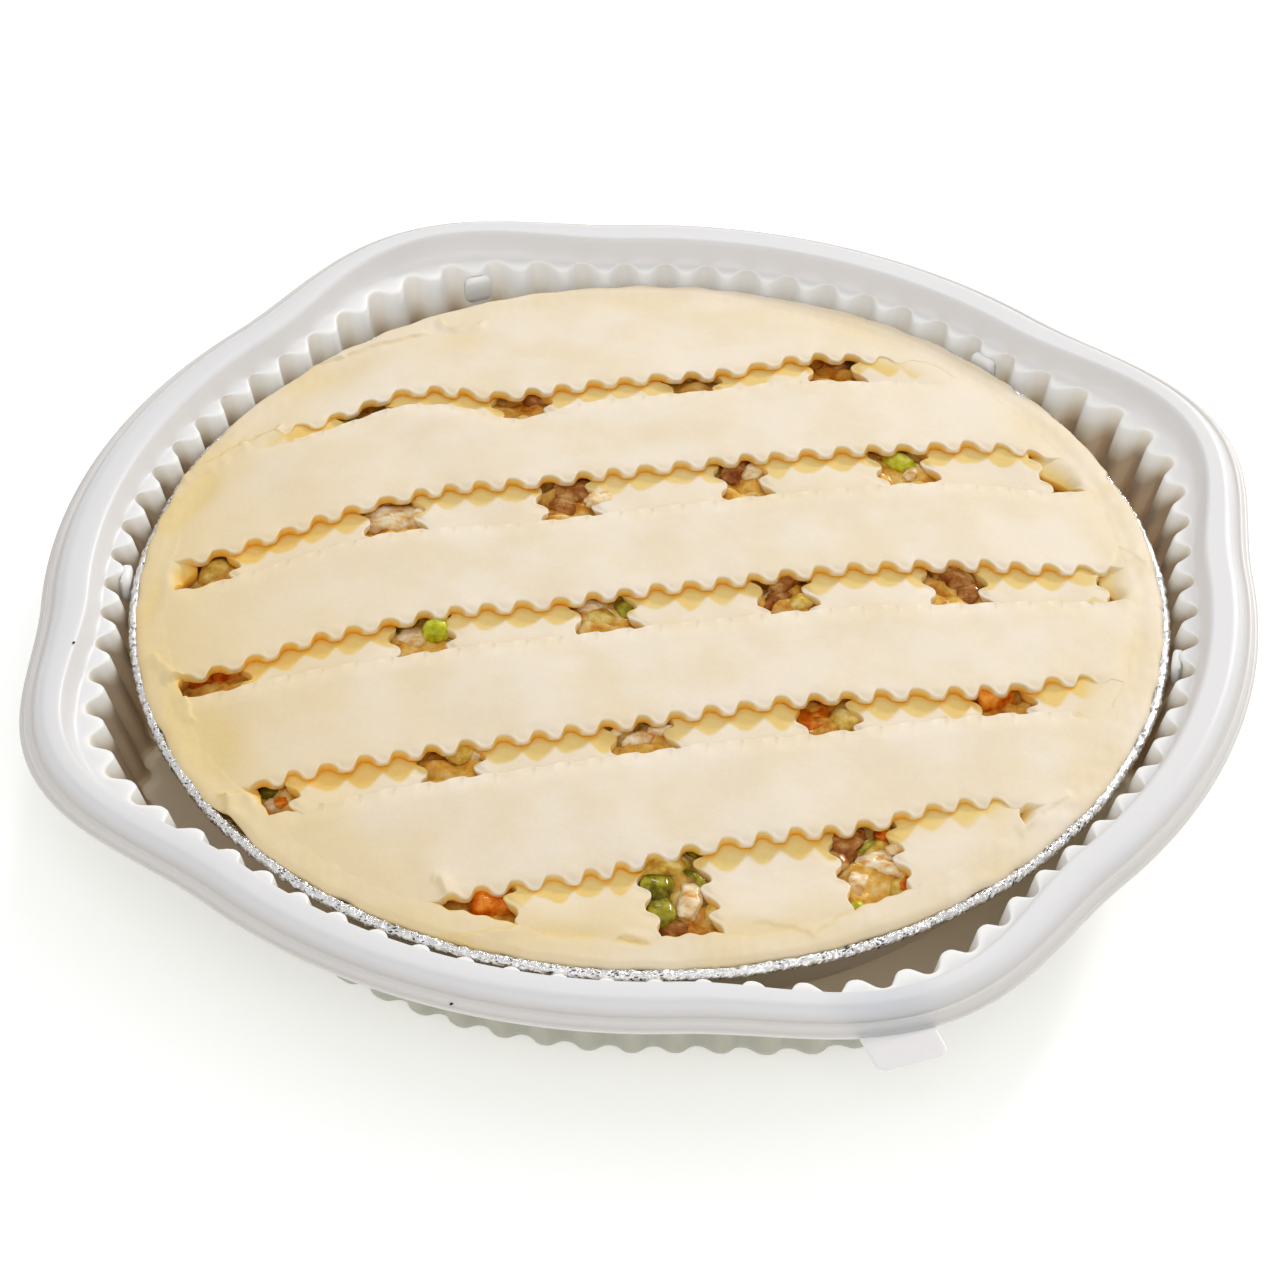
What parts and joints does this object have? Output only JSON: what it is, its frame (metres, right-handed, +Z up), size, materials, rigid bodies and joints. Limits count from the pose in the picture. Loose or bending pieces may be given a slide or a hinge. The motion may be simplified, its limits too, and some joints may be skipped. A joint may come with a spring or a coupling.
{
  "type": "chicken pot pie",
  "caption": "Uncooked family chicken pot pie with a scalloped lattice crust, in a round foil pan set in its fluted plastic tray.",
  "frame": {"origin": "centre of the tray's flat underside", "axes": "+Z up, -Y towards the side with the finger tab, +X to the right of it"},
  "size_m": [0.3568, 0.3683, 0.048],
  "materials": {
    "tray_plastic": "satin",
    "foil": "bright",
    "pastry": "matte",
    "filling": "glossy"
  },
  "bodies": {
    "root": {"tray": "tray_plastic", "foil_pan": "foil", "filling": "filling", "crust_border": "pastry", "under_strip_1": "pastry", "under_strip_2": "pastry", "under_strip_3": "pastry", "under_strip_4": "pastry", "under_strip_5": "pastry", "top_strip_1": "pastry", "top_strip_2": "pastry", "top_strip_3": "pastry", "top_strip_4": "pastry", "top_strip_5": "pastry"}
  },
  "joints": []
}
